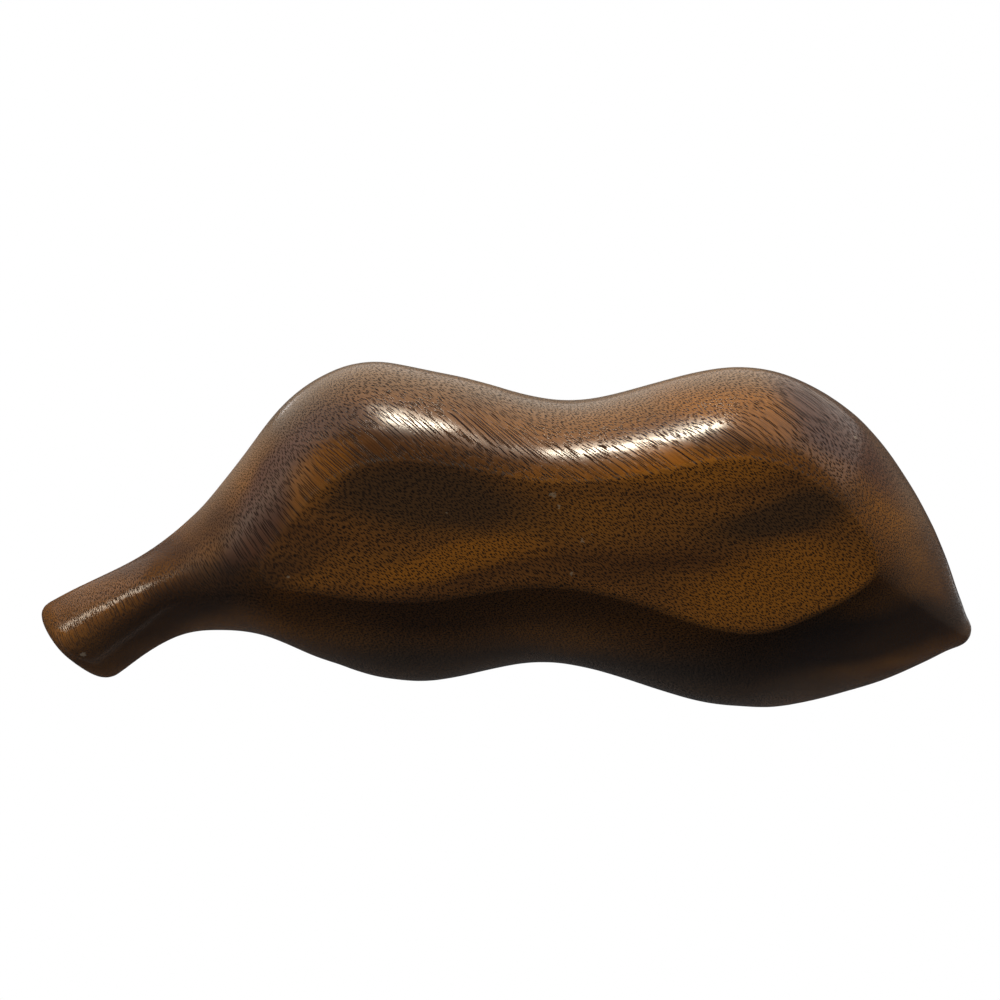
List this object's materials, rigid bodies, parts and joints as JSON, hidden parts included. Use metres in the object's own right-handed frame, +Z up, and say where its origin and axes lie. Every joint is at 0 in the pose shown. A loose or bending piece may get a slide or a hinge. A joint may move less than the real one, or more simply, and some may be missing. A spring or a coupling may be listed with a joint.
{
  "type": "divided serving dish",
  "caption": "Carved wooden serving dish with a small and a large bowl, a low divider at the waist, a short curved handle, a leaf tip and a flat sole.",
  "frame": {"origin": "centre of the dish's outline in plan, on the plane of the flat sole", "axes": "+Z up out of the bowls, +X along the dish from the handle to the tip, +Y to the left of someone who looks from the handle to the tip"},
  "size_m": [0.3304, 0.1238, 0.042],
  "materials": {
    "lacquered_wood": "open-pored brown wood under a thin satin lacquer"
  },
  "bodies": {
    "root": {"carved_dish": "lacquered_wood"}
  },
  "joints": []
}
